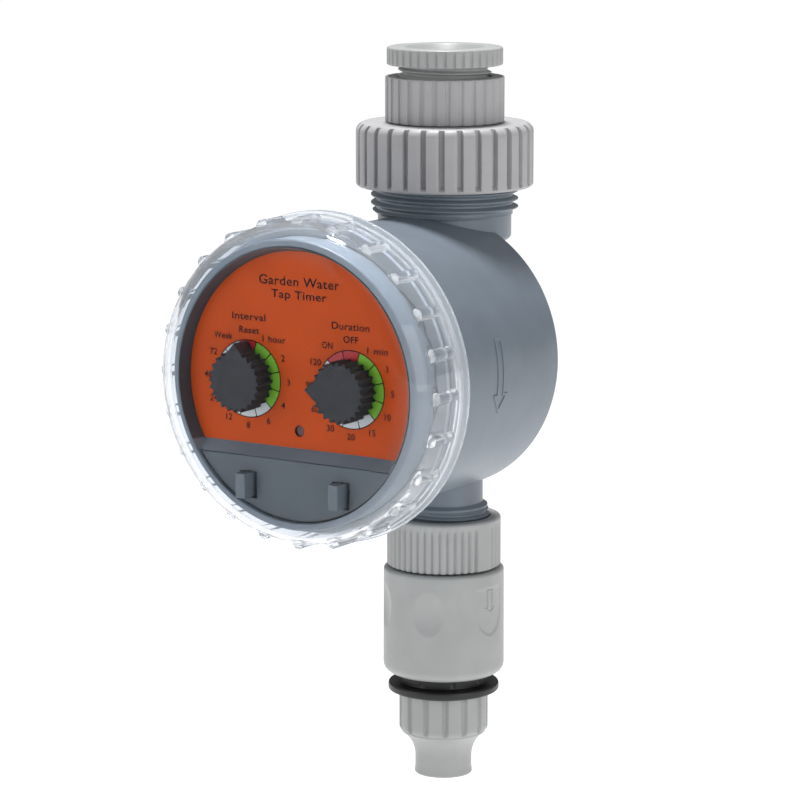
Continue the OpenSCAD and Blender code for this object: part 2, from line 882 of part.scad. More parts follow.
// Outlet adapter: a fluted collar on the outlet's thread with a click nipple below
module outlet_adapter() {
    floor_z = outlet_end + 1.8;
    color(c_light) difference() {
        union() {
            difference() {
                rotate_extrude() polygon(concat(
                    [[0, -collar_bottom]],
                    arc([collar_r - 0.5, -collar_bottom + 0.5], 0.5, -90, 0, 3),
                    arc([collar_r - 0.8, -collar_top - 0.8], 0.8, 0, 90, 3),
                    [[0, -collar_top]]
                ));
                round_flutes(collar_flutes, collar_r, 0.8, 0.6, -collar_bottom - cut, -collar_top - 1.6);
            }
            rotate_extrude() polygon([
                [0, -collar_bottom + cut], [nipple_r, -collar_bottom + cut], [nipple_r, -157.4],
                [7.2, -158], [7.2, -160.6], [nipple_r, -161.6], [nipple_r, -166.5], [6.6, -166.5],
                [6.6, -169], [nipple_r, -169], [nipple_r, -171.6], [7.4, -172.6], [0, -172.6]
            ]);
        }
        post(g34_crest_r + run_gap, -floor_z, -collar_top + cut);
        post(5, -180, -floor_z + cut);
    }
}

module outlet_washer() {
    color(c_rubber) ring(g34_crest_r - 0.3, 7.6, -outlet_end - 1.8, -outlet_end);
}

module nipple_seal() {
    color(c_rubber) translate([0, 0, -167.75])
        rotate_extrude() translate([7.6, 0]) circle(r = 0.95, $fn = 24);
}

// Black inner body: the socket for the nipple, the spring shoulder, the disc and the hose barb
module connector_body() {
    socket_low = 173.4;
    color(c_black) difference() {
        union() {
            post(12.2, -disc_bottom + 1, -157.4);
            post(14.6, -178.6, -177);
            post(disc_r, -disc_bottom, -disc_bottom + 2.3);
            post(9.4, -196, -disc_bottom + cut);
            rotate_extrude() polygon([
                [0, -205], [4.9, -205], [5.7, -202.6], [5.1, -202.6], [5.7, -200], [5.1, -200],
                [5.1, -195], [0, -195]
            ]);
        }
        post(nipple_r + 0.3, -socket_low, -156);
        post(4, -206, -socket_low + cut);
        for (a = [0:90:270])
            rotate([0, 0, a]) translate([6, -2, -160.7]) cube([8, 4, 2.6]);
    }
}

// Outer sleeve: slides down over the body against its spring
module connector_sleeve() {
    finger_r = 28;
    color(c_light) difference() {
        rotate_extrude() polygon(concat(
            [[9.6, -sleeve_top], [9.6, -152.5], [12.6, -152.5], [12.6, -161.5], [15, -161.5],
             [15, -sleeve_bottom]],
            arc([sleeve_r - 2, -sleeve_bottom + 2], 2, -90, 0, 5),
            arc([sleeve_r - 1, -sleeve_top - 1], 1, 0, 90, 3)
        ));
        for (a = [30:60:330])
            rotate([0, 0, a]) translate([sleeve_r + finger_r - 0.8, 0, -160.8])
                sphere(r = finger_r);
    }
}

module sleeve_spring() {
    turns = 4;
    pitch = (177 - 161.5 - 0.3) / turns;
    color(c_steel) for (i = [0:turns - 1])
        translate([0, 0, -177 + 0.15 + pitch * (i + 0.5)])
            rotate_extrude() translate([13.6, 0]) circle(r = 0.6, $fn = 24);
}

// Four jaws in the body's windows that hold the nipple's groove
module grip_jaws() {
    color(c_white) for (a = [0:90:270]) rotate([0, 0, a]) intersection() {
        translate([7.5, -1.9, -160.5]) cube([4.6, 3.8, 2.2]);
        ring(12.1, 7.5, -161, -157);
    }
}

// Hose nut: a ribbed grip above a hollow-curved taper and a slim tail
module hose_nut() {
    top = disc_bottom + 0.3;
    bend_r = 9;
    hose_stop = tail_end - 6;
    color(c_light) difference() {
        rotate_extrude() polygon(concat(
            [[9.48, -top], [9.48, -197], [6.4, -199.5], [6.4, -hose_stop], [6.7, -hose_stop],
             [6.7, -tail_end], [tail_r + 0.2, -tail_end],
             [tail_r + 0.2, -tail_end + 0.8], [tail_r, -tail_end + 1.2]],
            arc([tail_r + bend_r, -hose_nut_bottom - bend_r + 1], bend_r, 180, 124, 6),
            [[hose_nut_r - 0.5, -hose_nut_bottom], [hose_nut_r, -hose_nut_bottom + 0.6],
             [hose_nut_r, -top - 0.5], [hose_nut_r - 0.5, -top]]
        ));
        grip_grooves(14, hose_nut_r, 0.9, 1.7, -hose_nut_bottom - cut, -top - 1);
    }
}

reducer_bush();
tap_washer();
bush_washer();
inlet_adapter();
union_nut();
union_seal();
filter_screen();
valve_body();
main_housing();
clear_cover();
cover_seal();
control_panel();
face_label();
panel_screws();
interval_knob();
duration_knob();
interval_spindle();
duration_spindle();
interval_switch();
duration_switch();
circuit_board();
board_parts();
board_screws();
status_led();
battery_tray();
battery_link();
battery_contacts();
battery_left();
battery_right();
latch_left();
latch_right();
gearbox_base();
gearbox_cover();
gearbox_screws();
gear_motor();
motor_leads();
motor_pinion();
first_gear();
second_gear();
gear_axles();
output_gear();
valve_stem();
stem_seals();
valve_ball();
upper_seat();
lower_seat();
seat_retainer();
outlet_adapter();
outlet_washer();
nipple_seal();
connector_body();
connector_sleeve();
sleeve_spring();
grip_jaws();
hose_nut();
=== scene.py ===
import json
import math

import bmesh
import bpy
from mathutils import Matrix, Vector

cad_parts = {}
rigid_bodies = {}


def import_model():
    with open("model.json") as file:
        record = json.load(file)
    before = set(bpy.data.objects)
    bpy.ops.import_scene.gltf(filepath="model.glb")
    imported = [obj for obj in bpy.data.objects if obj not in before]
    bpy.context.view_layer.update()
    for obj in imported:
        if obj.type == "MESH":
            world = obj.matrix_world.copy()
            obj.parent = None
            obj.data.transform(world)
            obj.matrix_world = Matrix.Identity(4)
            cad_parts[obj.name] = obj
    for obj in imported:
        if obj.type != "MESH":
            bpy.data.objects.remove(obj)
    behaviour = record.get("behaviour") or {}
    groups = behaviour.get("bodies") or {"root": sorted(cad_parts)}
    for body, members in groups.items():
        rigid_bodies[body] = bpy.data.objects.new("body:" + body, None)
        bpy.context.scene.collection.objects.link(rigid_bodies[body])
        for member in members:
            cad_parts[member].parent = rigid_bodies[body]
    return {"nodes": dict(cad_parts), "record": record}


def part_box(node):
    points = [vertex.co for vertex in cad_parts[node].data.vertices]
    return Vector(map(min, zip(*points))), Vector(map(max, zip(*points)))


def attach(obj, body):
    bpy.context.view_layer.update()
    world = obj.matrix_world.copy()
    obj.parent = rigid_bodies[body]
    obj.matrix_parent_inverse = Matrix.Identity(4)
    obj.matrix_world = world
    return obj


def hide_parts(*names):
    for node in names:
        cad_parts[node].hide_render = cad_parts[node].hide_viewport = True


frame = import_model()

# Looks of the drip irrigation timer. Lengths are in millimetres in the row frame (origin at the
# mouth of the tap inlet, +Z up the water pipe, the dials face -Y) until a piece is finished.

MM = 0.001
TURN = 2 * math.pi
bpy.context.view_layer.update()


# ---- Sizes taken from the frame ----


def extent(node):
    """Lowest and highest corner of a CAD node, in millimetres."""
    low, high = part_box(node)
    return low / MM, high / MM


def round_size(node):
    """Radius, top and bottom of a CAD node that is round about the Z axis."""
    low, high = extent(node)
    return (high.x - low.x) / 2, high.z, low.z


def depth_size(node):
    """Distances of a CAD node's front and back from the pipe axis, towards the dials."""
    low, high = extent(node)
    return -low.y, -high.y


spindle_low, spindle_high = extent("duration_spindle")
label_low, label_high = extent("face_label")
knob_front, knob_back = depth_size("duration_knob")
label_front, label_back = depth_size("face_label")
cover_front, cover_back = depth_size("clear_cover")
drum_front, drum_back = depth_size("main_housing")
door_front, tray_back = depth_size("battery_tray")
shell_low, shell_high = extent("main_housing")
drum_z = (shell_low.z + shell_high.z) / 2
dial_x = (spindle_low.x + spindle_high.x) / 2
label_r = (label_high.x - label_low.x) / 2
label_chord = drum_z - label_low.z
DRUM_R = 39.46
DRUM_WALL = 1.9
COVER_R = 44
COVER_WALL = 1.6
COVER_ROUND = 10
NECK_CREST_R = 20.955
NECK_ROOT_R = 19.5
NECK_PITCH = 2.309
G34_CREST_R = 13.22
G34_ROOT_R = 12.06
G34_PITCH = 1.814
G34_CORE_R = G34_ROOT_R - 0.1
G34_BORE_R = G34_CREST_R + 0.08

# A limit that nothing reaches, for a fade that is open on one side
FAR = 999

# Drum frame: x right, y up, z towards the dials
IN_DRUM = Matrix.Translation((0, 0, drum_z)) @ Matrix.Rotation(math.pi / 2, 4, "X")
IN_ROW = Matrix.Identity(4)


# ---- Materials ----


def node_material(name):
    """A new node material with its Principled shader, object coordinates and node tree."""
    material = bpy.data.materials.new(name)
    material.use_nodes = True
    tree = material.node_tree
    shader = tree.nodes["Principled BSDF"]
    coordinates = tree.nodes.new("ShaderNodeTexCoord").outputs["Object"]
    return material, tree, shader, coordinates


def noise(tree, coordinates, size, detail=3):
    """Noise whose blotches are about size millimetres across."""
    node = tree.nodes.new("ShaderNodeTexNoise")
    node.inputs["Scale"].default_value = 1 / (size * MM)
    node.inputs["Detail"].default_value = detail
    tree.links.new(coordinates, node.inputs["Vector"])
    return node.outputs["Fac"]


def remap(tree, value, low, high, start=0.3, stop=0.7):
    """value spread from low to high as it goes from start to stop."""
    node = tree.nodes.new("ShaderNodeMapRange")
    for socket, number in zip(("From Min", "From Max", "To Min", "To Max"), (start, stop, low, high)):
        node.inputs[socket].default_value = number
    tree.links.new(value, node.inputs["Value"])
    return node.outputs["Result"]


def tint(tree, shader, factor, dark, light):
    """Base colour that goes from dark to light with factor."""
    ramp = tree.nodes.new("ShaderNodeValToRGB")
    ramp.color_ramp.elements[0].position = 0.3
    ramp.color_ramp.elements[0].color = (*dark, 1)
    ramp.color_ramp.elements[1].position = 0.7
    ramp.color_ramp.elements[1].color = (*light, 1)
    tree.links.new(factor, ramp.inputs["Fac"])
    tree.links.new(ramp.outputs["Color"], shader.inputs["Base Color"])


def bump(tree, shader, height, depth, edge):
    """Surface relief of depth millimetres over edges rounded by edge millimetres."""
    relief = tree.nodes.new("ShaderNodeBump")
    relief.inputs["Distance"].default_value = depth * MM
    relief.inputs["Strength"].default_value = 1
    tree.links.new(height, relief.inputs["Height"])
    if edge:
        bevel = tree.nodes.new("ShaderNodeBevel")
        bevel.samples = 4
        bevel.inputs["Radius"].default_value = edge * MM
        tree.links.new(bevel.outputs["Normal"], relief.inputs["Normal"])
    tree.links.new(relief.outputs["Normal"], shader.inputs["Normal"])


def scaled(colour, share):
    """colour made darker or lighter."""
    return tuple(min(1, part * share) for part in colour)


def surface(name, colour, rough, grain=0.35, depth=0.006, patch=0.05, edge=0.25, metallic=0, blotch=9,
            gloss=0.5):
    """Moulded plastic, rubber or metal: soft colour patches, and a fine grain in gloss and relief."""
    material, tree, shader, coordinates = node_material(name)
    tint(tree, shader, noise(tree, coordinates, blotch), scaled(colour, 1 - patch), scaled(colour, 1 + patch))
    fine = noise(tree, coordinates, grain, 2)
    tree.links.new(remap(tree, fine, rough - 0.05, rough + 0.05), shader.inputs["Roughness"])
    shader.inputs["Metallic"].default_value = metallic
    shader.inputs["Specular IOR Level"].default_value = gloss
    bump(tree, shader, fine, depth, edge)
    return material


def panel_rim_shade_material(name):
    """The control panel: painted shade makes the sloping rim round the label dark; the bevel below it keeps
    its own lighter grey.
    """
    material, tree, shader, coordinates = node_material(name)
    parts = tree.nodes.new("ShaderNodeSeparateXYZ")
    tree.links.new(coordinates, parts.inputs["Vector"])
    # Painted shade: above the label's chord level the sloping rim is coloured near black, standing in for the
    # shade inside the recess; below that level the bevel keeps its own lighter grey.
    level = (drum_z - label_chord) * MM
    above = remap(tree, parts.outputs["Z"], 0, 1, level - 0.0003, level + 0.0003)
    tint(tree, shader, above, (0.135, 0.158, 0.185), (0.045, 0.05, 0.056))
    fine = noise(tree, coordinates, 0.5, 2)
    tree.links.new(remap(tree, fine, 0.38, 0.48), shader.inputs["Roughness"])
    bump(tree, shader, fine, 0.0008, 0.25)
    return material


def clear_material(name):
    """Clear moulded plastic that lets lamps through. It barely reflects over the window, bends light
    round the rolled corner, is milky at the rear lips and cool grey where it is seen edge on."""
    material, tree, shader, coordinates = node_material(name)
    grazing = tree.nodes.new("ShaderNodeLayerWeight")
    grazing.inputs["Blend"].default_value = 0.3
    ramp = tree.nodes.new("ShaderNodeValToRGB")
    ramp.color_ramp.elements[0].position = 0.25
    ramp.color_ramp.elements[0].color = (0.94, 0.97, 1, 1)
    ramp.color_ramp.elements[1].position = 0.95
    ramp.color_ramp.elements[1].color = (0.5, 0.53, 0.62, 1)
    tree.links.new(grazing.outputs["Facing"], ramp.inputs["Fac"])
    tree.links.new(ramp.outputs["Color"], shader.inputs["Base Color"])
    flat = tree.nodes.new("ShaderNodeVectorMath")
    flat.operation = "MULTIPLY_ADD"
    flat.inputs[1].default_value = (1, 0, 1)
    flat.inputs[2].default_value = (0, 0, -drum_z * MM)
    tree.links.new(coordinates, flat.inputs[0])
    reach = tree.nodes.new("ShaderNodeVectorMath")
    reach.operation = "LENGTH"
    tree.links.new(flat.outputs["Vector"], reach.inputs[0])
    bend = remap(tree, reach.outputs["Value"], 1.08, 1.36, 0.0345, 0.041)
    tree.links.new(bend, shader.inputs["IOR"])
    parts = tree.nodes.new("ShaderNodeSeparateXYZ")
    tree.links.new(coordinates, parts.inputs["Vector"])
    rear = remap(tree, parts.outputs["Y"], 0, 0.16, -0.0665, -0.0635)
    rim = remap(tree, reach.outputs["Value"], 1, 0.93, 0.038, 0.0425)
    clear = tree.nodes.new("ShaderNodeMath")
    clear.operation = "SUBTRACT"
    tree.links.new(rim, clear.inputs[0])
    tree.links.new(rear, clear.inputs[1])
    tree.links.new(clear.outputs["Value"], shader.inputs["Transmission Weight"])
    marks = noise(tree, coordinates, 9)
    tree.links.new(remap(tree, marks, 0, 0.008, 0.5, 0.8), shader.inputs["Roughness"])
    through = tree.nodes.new("ShaderNodeBsdfTransparent")
    through.inputs["Color"].default_value = (0.93, 0.94, 0.95, 1)
    rays = tree.nodes.new("ShaderNodeLightPath")
    mix = tree.nodes.new("ShaderNodeMixShader")
    tree.links.new(rays.outputs["Is Shadow Ray"], mix.inputs[0])
    tree.links.new(shader.outputs["BSDF"], mix.inputs[1])
    tree.links.new(through.outputs["BSDF"], mix.inputs[2])
    tree.links.new(mix.outputs["Shader"], tree.nodes["Material Output"].inputs["Surface"])
    return material


light_grey = surface("light_grey_plastic", (0.395, 0.405, 0.405), 0.42)
warm_grey = surface("warm_grey_plastic", (0.425, 0.42, 0.432), 0.5, grain=0.5)
body_grey = surface("blue_grey_plastic", (0.162, 0.195, 0.234), 0.36)
face_grey = surface("face_grey_plastic", (0.08, 0.095, 0.11), 0.42, grain=0.5, depth=0.0008)
panel_grey = panel_rim_shade_material("panel_grey_painted_rim_shade")
latch_grey = surface("latch_grey_plastic", (0.12, 0.14, 0.16), 0.4, grain=0.5, depth=0.0008)
inner_grey = surface("inner_grey_plastic", (0.20, 0.22, 0.24), 0.5)
black_plastic = surface("black_plastic", (0.012, 0.012, 0.013), 0.4, grain=0.5)
charcoal = surface("charcoal_knob", (0.015, 0.015, 0.019), 0.62, grain=0.5, patch=0.4, blotch=1.4)
white_plastic = surface("white_plastic", (0.72, 0.72, 0.69), 0.4)
rubber = surface("rubber_seal", (0.016, 0.016, 0.016), 0.7, grain=0.3, depth=0.01)
steel = surface("steel", (0.56, 0.56, 0.57), 0.3, metallic=1, depth=0.002, patch=0.08)
brass = surface("brass_parts", (0.66, 0.47, 0.18), 0.32, metallic=1, depth=0.002, patch=0.1)
circuit_green = surface(
    "circuit_green", (0.02, 0.13, 0.045), 0.3, grain=1.2, depth=0.015, patch=0.25, blotch=2
)
black_parts = surface("black_electronics", (0.015, 0.015, 0.016), 0.45, grain=0.4)
jacket = surface("cell_jacket", (0.45, 0.27, 0.06), 0.3, patch=0.12, metallic=0.6)
seal_grey = surface("grey_silicone", (0.27, 0.3, 0.335), 0.55, grain=0.3, depth=0.01)
led_resin = surface("led_resin", (0.10, 0.03, 0.03), 0.15, grain=0.8, edge=0.1)
lead_red = surface("wire_insulation", (0.5, 0.03, 0.02), 0.45)
label_orange = surface(
    "orange_label", (0.5, 0.062, 0.006), 0.4, grain=0.5, depth=0.0005, patch=0.06, edge=0, gloss=0.12
)
ink_dark = surface("dark_ink", (0.012, 0.008, 0.008), 0.4, patch=0.2, edge=0, depth=0.002, gloss=0.1)
ink_red = surface("red_ink", (0.45, 0.012, 0.018), 0.35, patch=0.1, edge=0, depth=0.002)
ink_green = surface("green_ink", (0.17, 0.42, 0.03), 0.35, patch=0.1, edge=0, depth=0.002)
ink_pale = surface("pale_ink", (0.55, 0.56, 0.56), 0.35, patch=0.05, edge=0, depth=0.002)
clear_plastic = clear_material("clear_plastic")


# ---- Mesh helpers ----


def keep(name, mesh, material, body, nodes=()):
    """Links a finished mesh as a piece that rides on body and stands for nodes."""
    piece = bpy.data.objects.new(name, mesh)
    bpy.context.scene.collection.objects.link(piece)
    mesh.materials.clear()
    mesh.materials.append(material)
    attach(piece, body)
    if nodes:
        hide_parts(*nodes)
    return piece


def finish(name, bm, place, material, body, nodes=(), crease=35):
    """Turns a millimetre mesh into a piece: placed, in metres, smooth except over sharp edges."""
    bmesh.ops.remove_doubles(bm, verts=bm.verts, dist=0.002)
    bmesh.ops.recalc_face_normals(bm, faces=bm.faces)
    bmesh.ops.transform(bm, matrix=Matrix.Scale(MM, 4) @ place, verts=bm.verts)
    for face in bm.faces:
        face.smooth = True
    for edge in bm.edges:
        edge.smooth = len(edge.link_faces) == 2 and edge.calc_face_angle() < math.radians(crease)
    mesh = bpy.data.meshes.new(name)
    bm.to_mesh(mesh)
    bm.free()
    return keep(name, mesh, material, body, nodes)


def rounded(corners, steps=5):
    """Closed outline through corners (x, y, radius), with an arc of its radius at each."""
    outline = []
    for i, (x, y, radius) in enumerate(corners):
        here = Vector((x, y))
        if not radius:
            outline.append((x, y))
            continue
        back = (Vector(corners[i - 1][:2]) - here).normalized()
        ahead = (Vector(corners[(i + 1) % len(corners)][:2]) - here).normalized()
        half = back.angle(ahead) / 2
        centre = here + (back + ahead).normalized() * radius / math.sin(half)
        start = here + back * radius / math.tan(half) - centre
        sweep = start.angle_signed(here + ahead * radius / math.tan(half) - centre)
        for k in range(steps + 1):
            spoke = start.copy()
            spoke.rotate(Matrix.Rotation(-sweep * k / steps, 2))
            outline.append(tuple(centre + spoke))
    return outline


def dense(outline, step):
    """The outline with points added so that no side is longer than step."""
    points = []
    for i, (x, y) in enumerate(outline):
        after = outline[(i + 1) % len(outline)]
        parts = max(1, math.ceil(math.dist((x, y), after) / step))
        points += [(x + (after[0] - x) * k / parts, y + (after[1] - y) * k / parts) for k in range(parts)]
    return points


def even(count):
    """Equal angles round a circle."""
    return [TURN * i / count for i in range(count)]


def ribs(count, pattern, skip=None):
    """Angles for count equal ribs, and the depth at an angle. pattern holds the (share of a rib's
    pitch, depth) points of its outline; skip is a plain stretch (middle, half width) in radians."""
    pitch = TURN / count
    angles = [(i + share) * pitch for i in range(count) for share, _ in pattern]
    closed = pattern + [(1 + pattern[0][0], pattern[0][1])]

    def depth(angle):
        if skip and abs(math.remainder(angle - skip[0], TURN)) < skip[1]:
            return 0
        share = round(angle / pitch, 6) % 1
        for (a, low), (b, high) in zip(closed, closed[1:]):
            if a <= share <= b:
                return low + (high - low) * (share - a) / (b - a)
        return pattern[0][1]

    return angles, depth


def fade(value, low, high, soft):
    """1 between low and high, falling to 0 over soft outside them."""
    return max(0, min(1, (value - low) / soft + 1, (high - value) / soft + 1))


def lathe(bm, outline, angles, relief=None):
    """Turns a closed outline of (radius, height) round Z; relief gives the radius at an angle."""
    poles = {}
    columns = []
    for angle in angles:
        column = []
        for k, (radius, height) in enumerate(outline):
            if radius < 1e-6:
                if k not in poles:
                    poles[k] = bm.verts.new((0, 0, height))
                column.append(poles[k])
                continue
            if relief:
                radius = relief(angle, radius, height)
            column.append(bm.verts.new((radius * math.cos(angle), radius * math.sin(angle), height)))
        columns.append(column)
    for i, column in enumerate(columns):
        after = columns[(i + 1) % len(columns)]
        for k, vertex in enumerate(column):
            n = (k + 1) % len(column)
            corners = list(dict.fromkeys((vertex, after[k], after[n], column[n])))
            if len(corners) > 2:
                bm.faces.new(corners)


def thread(bm, crest, root, pitch, top, bottom, steps=120):
    """A helical thread from top down to bottom, running out at both ends, open at the core."""
    profile = [(0, 0), (0.12, 0), (0.38, 0.9), (0.44, 1), (0.56, 1), (0.62, 0.9), (0.88, 0)]
    turns = math.ceil((top - bottom) / pitch) + 1
    levels = [(turn + share, rise) for turn in range(-1, turns) for share, rise in profile]
    columns = []
    for i in range(steps + 1):
        angle = TURN * (i / steps + 0.25)
        column = []
        for level, rise in levels:
            height = min(top, max(bottom, top - (level + i / steps) * pitch))
            ends = min(top - height, height - bottom) / (0.6 * pitch)
            radius = root + (crest - root) * rise * max(0, min(1, ends))
            column.append(bm.verts.new((radius * math.cos(angle), radius * math.sin(angle), height)))
        columns.append(column)
    for column, after in zip(columns, columns[1:]):
        for k in range(len(levels) - 1):
            bm.faces.new((column[k], after[k], after[k + 1], column[k + 1]))


def flat_mesh(name, loops, thickness, edge, place):
    """Mesh of a flat plate: closed loops (the first outside, the rest holes), its back at z 0."""
    curve = bpy.data.curves.new(name, "CURVE")
    curve.dimensions = "2D"
    curve.fill_mode = "BOTH"
    curve.extrude = max(0, thickness / 2 - edge)
    curve.bevel_depth = edge
    curve.bevel_resolution = 2
    curve.offset = -edge
    for loop in loops:
        spline = curve.splines.new("POLY")
        spline.points.add(len(loop) - 1)
        spline.use_cyclic_u = True
        for point, (x, y) in zip(spline.points, loop):
            point.co = (x, y, 0, 1)
    return curve_mesh(name, curve, place @ Matrix.Translation((0, 0, thickness / 2)))


def curve_mesh(name, curve, place):
    """The mesh of a curve or text, placed and in metres."""
    holder = bpy.data.objects.new(name, curve)
    bpy.context.scene.collection.objects.link(holder)
    evaluated = holder.evaluated_get(bpy.context.evaluated_depsgraph_get())
    mesh = bpy.data.meshes.new_from_object(evaluated)
    mesh.transform(Matrix.Scale(MM, 4) @ place)
    bpy.data.objects.remove(holder)
    bpy.data.curves.remove(curve)
    return mesh


def circle_arc(radius, start, stop, steps, centre=(0, 0)):
    """Points on an arc between two angles in degrees."""
    angles = [math.radians(start + (stop - start) * k / steps) for k in range(steps + 1)]
    return [(centre[0] + radius * math.cos(a), centre[1] + radius * math.sin(a)) for a in angles]


def prism(bm, outline, low, high):
    """Straight prism on a flat outline between two levels."""
    lower = [bm.verts.new((x, y, low)) for x, y in outline]
    upper = [bm.verts.new((x, y, high)) for x, y in outline]
    bm.faces.new(lower)
    bm.faces.new(upper)
    for i in range(len(outline)):
        n = (i + 1) % len(outline)
        bm.faces.new((lower[i], lower[n], upper[n], upper[i]))


def block(bm, low, high):
    """Box between two corners."""
    outline = [(low[0], low[1]), (high[0], low[1]), (high[0], high[1]), (low[0], high[1])]
    prism(bm, outline, low[2], high[2])


def soften(mesh_object, width):
    """Small rounded edges on a piece or CAD node."""
    bevel = mesh_object.modifiers.new("edges", "BEVEL")
    bevel.width = width * MM
    bevel.segments = 3
    bevel.limit_method = "ANGLE"
    bevel.angle_limit = math.radians(50)
    bevel.use_clamp_overlap = False


def raised_arrow(name, point_at, half, head, length, line, rise, body, material):
    """An outlined arrow that points down a curved wall; point_at(across, up, lift) is on the wall."""
    neck = -length * 0.24
    parts = 6

    def outline(inset):
        right = [(half - inset, length / 2 - inset), (half - inset, neck - inset),
                 (head - 1.9 * inset, neck - inset)]
        corners = right + [(0, 1.9 * inset - length / 2)] + [(-u, v) for u, v in reversed(right)]
        points = []
        for i, (u, v) in enumerate(corners):
            after = corners[(i + 1) % len(corners)]
            points += [(u + (after[0] - u) * k / parts, v + (after[1] - v) * k / parts) for k in range(parts)]
        return points

    bm = bmesh.new()
    loops = []
    for inset, lift in ((-0.1, -0.2), (0, rise), (line, rise), (line + 0.1, -0.2)):
        loops.append([bm.verts.new(point_at(u, v, lift)) for u, v in outline(inset)])
    for loop, inner in zip(loops, loops[1:]):
        for k in range(len(loop)):
            n = (k + 1) % len(loop)
            bm.faces.new((loop[k], loop[n], inner[n], inner[k]))
    return finish(name, bm, IN_ROW, material, body)


# ---- Tap inlet ----


def make_reducer_bush():
    """The ribbed bush at the tap: a helical thread outside and one inside."""
    radius, top, bottom = round_size("reducer_bush")
    flange = -5.1
    rib_top = -0.9
    angles, depth = ribs(40, [(0, 0), (0.36, 0), (0.45, 0.38), (0.56, 0.5), (0.66, 0.38), (0.75, 0)])
    outline = dense(rounded([
        (radius, top, 0.7), (radius, flange, 0.5), (G34_CORE_R, flange, 0.3),
        (G34_CORE_R, bottom, 0.5), (6.6, bottom, 0), (6.6, -13, 0), (9.9, -13, 0),
        (9.9, -11, 0), (10.4, -11, 0), (10.4, -1.9, 0), (9.4, -1.9, 0), (11.3, top, 0.2),
    ]), 1.2)
    bm = bmesh.new()
    lathe(bm, outline, angles, lambda angle, r, z: r - depth(angle) * fade(z, flange, rib_top, 0.6)
          * fade(r, radius - 0.4, FAR, 0.4))
    thread(bm, G34_CREST_R, G34_ROOT_R, G34_PITCH, flange + 0.3, bottom + 0.6)
    thread(bm, 10.3, 9.3, G34_PITCH, -1.8, -11)
    finish("reducer_bush_look", bm, IN_ROW, light_grey, "tap_end", ["reducer_bush"])


def make_inlet_adapter():
    """The ribbed adapter above the nut, with the flange that the nut holds."""
    _, top, bottom = round_size("inlet_adapter")
    radius = 16.9
    collar = -21
    angles, depth = ribs(28, [(0, 0), (0.52, 0), (0.56, 0.45), (0.64, 0.6), (0.8, 0.6), (0.92, 0.15)])
    outline = dense(rounded([
        (radius, top, 0.35), (radius, collar, 0), (15.2, collar, 0), (15.2, -25.2, 0),
        (20.3, -25.2, 0.3), (20.3, bottom, 0.3), (8.6, bottom, 0), (8.6, -20, 0),
        (G34_BORE_R, -20, 0), (G34_BORE_R, top, 0.3),
    ]), 1.5)
    bm = bmesh.new()
    lathe(bm, outline, angles, lambda angle, r, z: r - depth(angle) * fade(r, radius - 0.3, FAR, 0.3))
    finish("inlet_adapter_look", bm, IN_ROW, warm_grey, "adapter", ["inlet_adapter"])


def make_union_nut():
    """The big nut, with wide grooves that fade out at its top and above its foot."""
    radius, top, bottom = round_size("union_nut")
    floor_r = radius - 1.6
    groove_low = bottom + 1.3
    angles, share = ribs(30, [(0, 0), (0.2, 0), (0.4, 0), (0.6, 0), (0.66, 0.12), (0.70, 1), (0.82, 1),
                              (0.94, 1), (0.98, 0.12)])
    outline = dense(rounded([
        (radius, top, 2.5), (radius, bottom, 1.1), (21.04, bottom, 0.2), (21.04, top - 3.7, 0),
        (15.5, top - 3.7, 0), (15.5, top, 0.3),
    ], 7), 0.9)
    bm = bmesh.new()
    lathe(bm, outline, angles, lambda angle, r, z: r - share(angle) * fade(z, groove_low, FAR, 0.25)
          * max(0, r - floor_r))
    turn = Matrix.Rotation(math.radians(2), 4, "Z")
    finish("union_nut_look", bm, turn, warm_grey, "union", ["union_nut"])


# ---- Housing ----

ARROW_DEPTH = 34


def make_housing():
    """The valve body with its helical threads and the drum shell, as one moulded piece."""
    _, top, bottom = round_size("valve_body")
    bm = bmesh.new()
    pipe = rounded([
        (NECK_ROOT_R - 0.2, top, 0.4), (NECK_ROOT_R - 0.2, -47, 0), (19, -47, 0), (19, -54.5, 1.5),
        (15.2, -54.5, 0.5), (15.2, -110, 3), (11.2, -119, 3), (11.2, -130.6, 0.5), (12.6, -131.4, 0.4),
        (12.6, -132.2, 0.3), (G34_CORE_R, -132.2, 0), (G34_CORE_R, bottom, 0.3),
        (7.5, bottom, 0), (7.5, -107, 0), (12.2, -97, 0), (12.2, -50, 0), (15.5, -50, 0),
        (15.5, top - 1.6, 0), (17.5, top - 1.6, 0), (17.5, top, 0.3),
    ])
    lathe(bm, dense(pipe, 6), even(144))
    thread(bm, NECK_CREST_R, NECK_ROOT_R - 0.1, NECK_PITCH, top, -47.2)
    thread(bm, G34_CREST_R, G34_ROOT_R, G34_PITCH, -132, bottom + 0.5)
    finish("valve_body_look", bm, IN_ROW, body_grey, "timer", ["valve_body"])
    shell = rounded([
        (DRUM_R, drum_front, 0.6), (DRUM_R, drum_back, 1.2), (0, drum_back, 0),
        (0, drum_back + 2.4, 0), (DRUM_R - DRUM_WALL, drum_back + 2.4, 1),
        (DRUM_R - DRUM_WALL, drum_front, 0.35),
    ])
    bm = bmesh.new()
    lathe(bm, dense(shell, 8), even(240))
    thread(bm, COVER_R - COVER_WALL - 0.08, DRUM_R - 0.05, 2.8, 66.2, 60.6, 240)
    finish("drum_shell_look", bm, IN_DRUM, body_grey, "timer", ["main_housing"])

    def on_drum(across, up, lift):
        return (math.sqrt((DRUM_R + lift) ** 2 - up * up), across - ARROW_DEPTH, drum_z + up)

    raised_arrow("flow_arrow_look", on_drum, 1.7, 3.6, 20.6, 0.6, 0.25, "timer",
                 body_grey)


# ---- Clear cover ----


